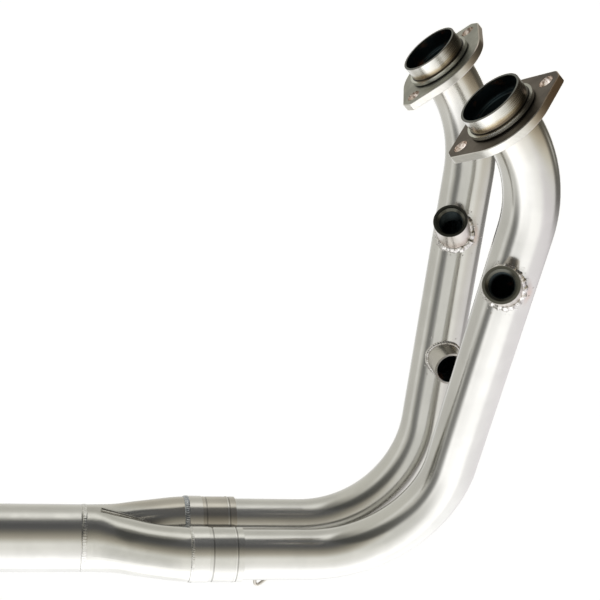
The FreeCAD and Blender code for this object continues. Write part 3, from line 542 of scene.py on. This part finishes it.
def boss_material(side):
    """Turned boss: bright barrel; painted shade on the mouth face, countersink and bore, and a painted
    highlight round the rim.
    """
    foot, axis = boss_foot(side)
    metal = Metal(side + "_boss_steel")
    along, off = metal.off_axis(foot, axis)
    lines = metal.grain(along, 0.3 * MM)
    colour = metal.mix(metal.blotch(6 * MM), BARREL_DULL, BARREL_BRIGHT)
    near_weld = metal.smooth(along, 20 * MM, 28 * MM, 0.55, 0.0)
    colour = metal.mix(near_weld, colour, BARREL_WARM)
    rings = metal.bands(metal.math("DIVIDE", off, 0.32 * MM))
    # painted shade: the mouth face is coloured dark, with turned rings
    face = metal.smooth(along, BOSS_REACH - 0.5 * MM, BOSS_REACH - 0.12 * MM)
    colour = metal.mix(face, colour, metal.mix(rings, SHADED_FACE_DARK, SHADED_FACE_LIGHT))
    # painted highlight: a bright thin line round the rim of the face
    rim = metal.times(face, metal.smooth(off, BOSS_RADIUS - 0.4 * MM, BOSS_RADIUS - 0.15 * MM))
    colour = metal.mix(metal.times(rim, 0.55), colour, RIM_HIGHLIGHT)
    # painted shade in the countersink, and near black deeper in the bore
    cone = metal.fade(off, BOSS_MOUTH + 0.1 * MM, BOSS_MOUTH + 0.4 * MM)
    colour = metal.mix(cone, colour, metal.mix(rings, SHADED_CONE_DARK, SHADED_CONE_LIGHT))
    bore = metal.fade(along, BOSS_REACH - 4.2 * MM, BOSS_REACH - 3.2 * MM)
    colour = metal.mix(metal.times(cone, bore), colour, BORE_SHADE_BLACK)
    rough = metal.plus(0.2, metal.times(lines, 0.16))
    return metal.finish(colour, rough, lines, 0.04 * MM, 0.35)


def weld_material(name, dark, light, pitting, size=4 * MM):
    """Bare weld metal with patches, small dark pits and a lumpy surface."""
    metal = Metal(name)
    patch = metal.smooth(metal.blotch(size), 0.40, 0.62)
    colour = metal.mix(patch, dark, light)
    pits = metal.noise(metal.point, 900.0, 3.0)
    colour = metal.mix(metal.smooth(pits, 0.60, 0.68, 0.0, pitting), colour, PIT_DARK)
    rough = metal.plus(0.16, metal.times(patch, 0.14))
    return metal.finish(colour, rough, pits, 0.12 * MM, 0.5)


def mottled_material(name, dark, light, size, rough, fine):
    """Plain metal in two mottled tones."""
    metal = Metal(name)
    colour = metal.mix(metal.blotch(size), dark, light)
    return metal.finish(colour, metal.plus(rough, metal.times(metal.blotch(fine), 0.2)))


def give(node, material):
    """Put one material on every slot of a node."""
    holder = nodes[node]
    if not holder.material_slots:
        holder.data.materials.append(material)
    for place in holder.material_slots:
        place.material = material


weld_metal = weld_material("weld_bead_metal", (0.56, 0.54, 0.52), (0.86, 0.84, 0.82), 0.75)
ring_metal = weld_material("ring_bead_metal", (0.68, 0.675, 0.65), (0.84, 0.835, 0.81), 0.4, 2 * MM)
far_ring_metal = weld_material(
    "far_ring_bead_metal", (0.40, 0.43, 0.47), (0.62, 0.64, 0.66), 0.3, 2 * MM
)
# painted shade: the seam weld is coloured darker than the other welds
seam_shaded_metal = weld_material("seam_bead_shaded_metal", (0.40, 0.39, 0.36), (0.58, 0.57, 0.54), 0.3)
for side in RUNS:
    give(side + "_header_pipe", pipe_material(side))
    give(side + "_port_collar", collar_material(side))
    give(side + "_sensor_boss", boss_material(side))
    give(side + "_slip_sleeve", sleeve_material(side))
    give(side + "_port_flange", flange_material(side, *FLANGE_TONES[side]))
outlet_steel = straight_tube_material(
    "outlet_steel", STEEL, CENTRE, AHEAD, OUTLET_RADIUS - TUBE_WALL, 0.12
)
give("outlet_pipe", outlet_steel)
shell = collector_material()
give("right_collector_half", shell)
give("left_collector_half", shell)
balance_foot = RUNS["left"].station(BALANCE_STATION)
balance_steel = straight_tube_material(
    "balance_stub_steel", STUB_STEEL, balance_foot, ACROSS, BALANCE_BORE, 0.22
)
give("balance_stub", balance_steel)
wire = mottled_material(
    "hook_wire_steel", (0.50, 0.47, 0.42), (0.72, 0.69, 0.64), 3 * MM, 0.24, 1.2 * MM
)
give("spring_hook", wire)
for name in nodes:
    if name.endswith("_weld"):
        give(name, seam_shaded_metal if "seam" in name else weld_metal)


def add_piece(name, mesh_builder, material):
    """New mesh object that rides on the header's one body."""
    mesh = bpy.data.meshes.new(name)
    mesh_builder.to_mesh(mesh)
    mesh_builder.free()
    for polygon in mesh.polygons:
        polygon.use_smooth = True
    piece = bpy.data.objects.new(name, mesh)
    bpy.context.scene.collection.objects.link(piece)
    mesh.materials.append(material)
    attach(piece, "root")
    return piece


def bead(points, outs, acrosses, half_width, height, ripple, lumps, seed):
    """Closed, rippled weld bead along a path: outs and acrosses are unit vectors at each point."""
    dice = random.Random(seed)
    count = len(points)
    waves = [
        (dice.uniform(0, math.tau), dice.randint(3, 19), dice.uniform(0.3, 1.0)) for number in range(6)
    ]
    mesh = bmesh.new()
    rings = []
    around = 14
    travelled = 0.0
    for number in range(count):
        if number:
            travelled += (points[number] - points[number - 1]).length
        turn = math.tau * number / count
        lump = sum(size * math.sin(rate * turn + phase) for phase, rate, size in waves) / 3.5
        ring = []
        for step in range(around):
            angle = math.tau * step / around
            crest = (travelled + 0.35 * half_width * math.cos(angle) ** 2) / ripple
            scallop = 1.0 - 0.34 * (crest - math.floor(crest)) ** 1.5
            swell = (1.0 + lumps * lump) * (scallop if math.sin(angle) > -0.2 else 0.9)
            side = half_width * math.cos(angle) * (1.0 + 0.4 * lumps * lump)
            rise = height * math.sin(angle) * swell
            ring.append(mesh.verts.new(points[number] + acrosses[number] * side + outs[number] * rise))
        rings.append(ring)
    for number in range(count):
        here, following = rings[number], rings[(number + 1) % count]
        for step in range(around):
            after = (step + 1) % around
            mesh.faces.new((here[step], here[after], following[after], following[step]))
    bmesh.ops.recalc_face_normals(mesh, faces=mesh.faces)
    return mesh


def ring_bead(name, node, centre, radius, half_width, height, ripple, lumps, seed, material):
    """Bead round a joint between two tubes that run along X."""
    count = int(math.tau * radius / (ripple / 6))
    turns = [math.tau * number / count for number in range(count)]
    outs = [Vector((0, math.cos(turn), math.sin(turn))) for turn in turns]
    points = [centre + out * radius for out in outs]
    mesh = bead(points, outs, [AHEAD] * count, half_width, height, ripple, lumps, seed)
    piece = add_piece(name, mesh, material)
    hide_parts(node)


def spokes(run, axis):
    """Function of a turn about axis that gives the unit vector away from the axis."""
    first = axis.cross(run.down).normalized()
    second = axis.cross(first)
    return lambda turn: first * math.cos(turn) + second * math.sin(turn)


def on_leg(run, foot, axis, offset):
    """Where a line along axis, offset from foot, leaves the straight leg, with the leg's normal."""
    flat_axis = axis - run.down * axis.dot(run.down)
    flat_base = offset - run.down * offset.dot(run.down)
    a = flat_axis.length_squared
    b = 2 * flat_base.dot(flat_axis)
    c = flat_base.length_squared - PIPE_RADIUS ** 2
    under = b * b - 4 * a * c
    if under < 0:
        return None, None
    point = foot + offset + axis * ((-b + math.sqrt(under)) / (2 * a))
    away = point - foot
    return point, away - run.down * away.dot(run.down)


def saddle_path(run, foot, axis, radius, count):
    """Where a tube of that radius about axis meets the outside of the straight leg."""
    spoke_at = spokes(run, axis)
    points, outs = [], []
    for number in range(count):
        spoke = spoke_at(math.tau * number / count)
        point, normal = on_leg(run, foot, axis, spoke * radius)
        points.append(point)
        outs.append((normal.normalized() + spoke).normalized())
    acrosses = []
    for number in range(count):
        tangent = (points[(number + 1) % count] - points[number - 1]).normalized()
        acrosses.append(tangent.cross(outs[number]).normalized())
    return points, outs, acrosses


def saddle_bead(name, node, run, foot, axis, radius, half_width, height, ripple, lumps, seed):
    """Bead round the foot of a tube that stands on the leg."""
    path = saddle_path(run, foot, axis, radius, int(math.tau * radius / (ripple / 6)))
    mesh = bead(*path, half_width, height, ripple, lumps, seed)
    piece = add_piece(name, mesh, weld_metal)
    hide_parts(node)


def spatter(name, run, foot, axis, radius, count, seed):
    """Small flattened droplets stuck to the pipe beside a weld."""
    dice = random.Random(seed)
    mesh = bmesh.new()
    spoke_at = spokes(run, axis)
    for number in range(count):
        spoke = spoke_at(math.radians(dice.uniform(0, 360)))
        offset = spoke * (radius + dice.uniform(2.6, 6.5) * MM)
        point, normal = on_leg(run, foot, axis, offset)
        if point is None:
            continue
        size = dice.uniform(0.2, 0.62) * MM
        turned = normal.to_track_quat("Z", "Y").to_matrix().to_4x4()
        stretch = Matrix.Diagonal((size * dice.uniform(0.8, 1.5), size, size * 0.6, 1.0))
        place = Matrix.Translation(point) @ turned @ stretch
        bmesh.ops.create_icosphere(mesh, subdivisions=2, radius=1.0, matrix=place)
    for vertex in mesh.verts:
        vertex.co += Vector([dice.uniform(-0.04, 0.04) * MM for axis_number in range(3)])
    add_piece(name, mesh, weld_metal)


def thread(name, foot, axis, start, length, radius, depth, pitch, material):
    """Internal screw thread standing on the wall of a bore."""
    mesh = bmesh.new()
    first = axis.orthogonal().normalized()
    second = axis.cross(first)
    steps = 40
    rows = []
    for number in range(int(length / pitch * steps)):
        turn = math.tau * number / steps
        spoke = first * math.cos(turn) + second * math.sin(turn)
        level = start + pitch * number / steps
        low = foot + axis * (level - 0.42 * pitch) + spoke * (radius + 0.03 * MM)
        crest = foot + axis * level + spoke * (radius - depth)
        high = foot + axis * (level + 0.42 * pitch) + spoke * (radius + 0.03 * MM)
        rows.append([mesh.verts.new(point) for point in (low, crest, high)])
    for here, following in zip(rows, rows[1:]):
        for step in range(3):
            after = (step + 1) % 3
            mesh.faces.new((here[step], here[after], following[after], following[step]))
    mesh.faces.new(rows[0])
    mesh.faces.new(list(reversed(rows[-1])))
    bmesh.ops.recalc_face_normals(mesh, faces=mesh.faces)
    piece = add_piece(name, mesh, material)
    for polygon in piece.data.polygons:
        polygon.use_smooth = False


# painted shade: the thread inside the boss bore is coloured near black
shaded_thread_steel = mottled_material(
    "thread_shade_dark_steel", (0.012, 0.019, 0.023), (0.055, 0.066, 0.068), 2 * MM, 0.25, 1 * MM
)
for side, seed in (("right", 11), ("left", 23)):
    foot, axis = boss_foot(side)
    run = RUNS[side]
    saddle_bead(
        side + "_boss_bead", side + "_boss_weld", run, foot, axis,
        radius=BOSS_RADIUS + 0.9 * MM, half_width=2.9 * MM, height=1.5 * MM,
        ripple=2.9 * MM, lumps=0.7, seed=seed,
    )
    spatter(side + "_boss_spatter", run, foot, axis, BOSS_RADIUS, 30, seed + 1)
    thread(
        side + "_boss_thread", foot, axis,
        start=20 * MM, length=15 * MM, radius=BOSS_BORE, depth=0.8 * MM,
        pitch=1.5 * MM, material=shaded_thread_steel,
    )
    near = side == "right"
    ring_bead(
        side + "_sleeve_bead", side + "_sleeve_weld", Vector((BRANCH_FORWARD, run.corner.y, 0)),
        radius=20.4 * MM, half_width=2.3 * MM, height=0.45 * MM if near else 0.8 * MM,
        ripple=1.6 * MM, lumps=0.15, seed=seed + 2, material=ring_metal if near else far_ring_metal,
    )
saddle_bead(
    "balance_bead", "balance_weld", RUNS["left"], balance_foot, -ACROSS,
    radius=BALANCE_RADIUS + 0.5 * MM, half_width=1.7 * MM, height=1.2 * MM,
    ripple=1.9 * MM, lumps=0.2, seed=5,
)
spatter("balance_spatter", RUNS["left"], balance_foot, -ACROSS, BALANCE_RADIUS, 14, 6)
ring_bead(
    "outlet_bead", "outlet_weld", Vector((OUTLET_JOINT, 0, 0)),
    radius=OUTLET_RADIUS - 0.1 * MM, half_width=1.7 * MM, height=0.3 * MM,
    ripple=2.1 * MM, lumps=0.3, seed=41, material=ring_metal,
)


# Camera at the photograph's angle: a long lens, rolled a little to the left
def aim(camera, place, target, roll):
    away = (place - target).normalized()
    level = Vector((-away.y, away.x, 0)).normalized()
    upright = away.cross(level)
    right = level * math.cos(roll) + upright * math.sin(roll)
    up = upright * math.cos(roll) - level * math.sin(roll)
    columns = Matrix((right, up, away)).transposed().to_4x4()
    camera.matrix_world = Matrix.Translation(place) @ columns


lens = bpy.data.cameras.new("camera")
lens.lens = LENS_LENGTH
lens.sensor_width = SENSOR_WIDTH
camera = bpy.data.objects.new("camera", lens)
bpy.context.scene.collection.objects.link(camera)
aim(camera, CAMERA_PLACE, CAMERA_TARGET, CAMERA_ROLL)
bpy.context.scene.camera = camera


def make_floor():
    """Pale floor well below the header, which is held by its ports."""
    mesh = bmesh.new()
    bmesh.ops.create_grid(mesh, x_segments=8, y_segments=8, size=FLOOR_HALF)
    data = bpy.data.meshes.new("floor")
    mesh.to_mesh(data)
    mesh.free()
    floor = bpy.data.objects.new("floor", data)
    floor.location = FLOOR_PLACE
    bpy.context.scene.collection.objects.link(floor)
    material = bpy.data.materials.new("floor_paper")
    material.use_nodes = True
    graph = Graph(material.node_tree)
    material.node_tree.nodes.clear()
    paper = graph.node("ShaderNodeBsdfDiffuse")
    paper.inputs[0].default_value = FLOOR_TONE
    glow = graph.node("ShaderNodeEmission")
    path = graph.node("ShaderNodeLightPath")
    seen = graph.math("MAXIMUM", path.outputs["Is Camera Ray"], path.outputs["Is Glossy Ray"])
    graph.feed(glow.inputs["Strength"], graph.times(seen, FLOOR_GLOW))
    both = graph.node("ShaderNodeAddShader")
    graph.tree.links.new(paper.outputs[0], both.inputs[0])
    graph.tree.links.new(glow.outputs[0], both.inputs[1])
    output = graph.node("ShaderNodeOutputMaterial")
    graph.tree.links.new(both.outputs[0], output.inputs[0])
    data.materials.append(material)
    floor.visible_glossy = False


make_floor()


def make_world():
    """Studio surroundings: white table below, pale walls, dark ceiling, dark gaps at two sides."""
    world = bpy.data.worlds.new("studio")
    bpy.context.scene.world = world
    world.use_nodes = True
    graph = Graph(world.node_tree)
    world.node_tree.nodes.clear()
    direction = graph.vector("NORMALIZE", graph.node("ShaderNodeTexCoord").outputs["Generated"])
    split = graph.node("ShaderNodeSeparateXYZ")
    graph.feed(split.inputs[0], direction)
    x, y, z = split.outputs
    # height and turn in degrees; turn 0 faces the camera's side, 90 the front of the header
    height = graph.math("DEGREES", graph.math("ARCSINE", z))
    turn = graph.math("DEGREES", graph.math("ARCTAN2", x, graph.times(y, -1.0)))
    climb = graph.math("DIVIDE", graph.plus(height, 90.0), 180.0)

    def rise(stops):
        """Brightness against height in degrees."""
        return graph.ramp(climb, [((degrees + 90) / 180, tone) for degrees, tone in stops])

    def around(start, end, soft):
        """1 between two turns, easing off over soft degrees."""
        return graph.times(
            graph.smooth(turn, start - soft, start + soft),
            graph.fade(turn, end - soft, end + soft),
        )

    def above(start, end, soft):
        """1 between two heights."""
        return graph.times(
            graph.smooth(height, start - soft, start + soft),
            graph.fade(height, end - soft, end + soft),
        )

    front = rise([
        (-90, 1.75), (-52, 1.70), (-38, (1.46, 1.45, 1.44)), (-24, (1.13, 1.12, 1.09)),
        (-5, (0.98, 0.97, 0.92)), (12, (0.94, 0.93, 0.88)), (23, (0.68, 0.66, 0.59)),
        (33, (0.46, 0.43, 0.36)), (44, (0.31, 0.29, 0.24)), (54, (0.19, 0.18, 0.155)),
        (65, 0.115), (78, 0.105), (90, 0.17),
    ])
    wall = rise([
        (-90, 1.35), (-74, 1.20), (-62, (0.70, 0.69, 0.65)), (-45, (0.74, 0.73, 0.69)),
        (-25, (0.62, 0.61, 0.57)), (-5, (0.64, 0.63, 0.58)), (20, (0.66, 0.65, 0.59)),
        (38, (0.64, 0.63, 0.57)), (52, (0.62, 0.61, 0.55)), (62, (0.47, 0.46, 0.41)),
        (72, (0.26, 0.255, 0.225)), (90, (0.19, 0.185, 0.17)),
    ])
    right = rise([
        (-90, 1.60), (-50, 1.38), (-35, (1.12, 1.09, 1.11)), (-22, (0.96, 0.92, 0.945)),
        (-10, (0.92, 0.90, 0.88)), (0, (0.74, 0.70, 0.60)), (8, (0.55, 0.49, 0.38)),
        (16, (0.30, 0.25, 0.18)), (24, (0.12, 0.105, 0.08)), (34, (0.07, 0.065, 0.055)),
        (60, 0.11), (90, 0.17),
    ])
    rear = rise([
        (-90, 1.30), (-40, 1.10), (-15, 0.85), (0, (0.76, 0.75, 0.69)),
        (22, (0.60, 0.59, 0.54)), (38, (0.58, 0.575, 0.53)), (50, (0.66, 0.65, 0.60)),
        (61, (1.02, 1.01, 0.96)), (72, (1.04, 1.03, 0.97)), (81, (0.52, 0.515, 0.475)),
        (90, (0.2, 0.195, 0.18)),
    ])
    light = graph.mix(graph.smooth(turn, -84, -52), wall, front)
    light = graph.mix(graph.smooth(turn, 22, 46), light, right)
    light = graph.mix(graph.smooth(turn, 138, 152), light, rear)
    light = graph.mix(graph.fade(turn, -178, -158), light, rear)
    # the pale walls are a little darker ahead of the header and left of the camera
    dim = graph.times(graph.smooth(turn, 28, 52), above(-50, 4, 12))
    light = graph.mix(graph.times(dim, 0.09), light, (0.12, 0.118, 0.12))
    shade = graph.times(around(-48, -12, 9), above(-34, 14, 14))
    light = graph.mix(graph.times(shade, 0.25), light, (0.12, 0.125, 0.11))
    # a lighter strip of wall beside the dark gap at the left
    strip = graph.times(around(-107, -94, 5), above(-50, 42, 14))
    light = graph.mix(graph.times(strip, 0.6), light, (1.0, 0.99, 0.95))
    # dark gap at the left, narrow below and widening into the ceiling
    widen = graph.smooth(height, 0, 62)
    lean = graph.plus(-65.0, graph.times(graph.fade(height, -45, 5), -13.0))
    middle = graph.plus(lean, graph.times(widen, 6.0))
    beside = graph.math("ABSOLUTE", graph.math("SUBTRACT", turn, middle))
    half = graph.plus(11.0, graph.times(widen, 18.0))
    gap = graph.fade(graph.math("SUBTRACT", beside, half), -5.0, 11.0)
    gap = graph.times(gap, graph.smooth(height, -54, -30))
    depth = graph.smooth(height, -50, 45, 0.74, 0.90)
    light = graph.mix(graph.times(gap, depth), light, (0.065, 0.066, 0.062))
    # dark gap at the right, with a bright patch in it
    dark = graph.times(around(91, 142, 8), above(-19, 40, 8))
    light = graph.mix(graph.times(dark, 0.86), light, (0.06, 0.056, 0.045))
    patch = graph.times(around(109, 119, 4), above(-2, 7, 4))
    light = graph.mix(graph.times(patch, 0.7), light, (0.72, 0.70, 0.64))
    path = graph.node("ShaderNodeLightPath")
    light = graph.mix(path.outputs["Is Camera Ray"], light, (1.0, 1.0, 1.0))
    background = graph.node("ShaderNodeBackground")
    graph.feed(background.inputs[0], light)
    output = graph.node("ShaderNodeOutputWorld")
    graph.tree.links.new(background.outputs[0], output.inputs[0])


make_world()

bpy.context.scene.view_settings.view_transform = "Standard"
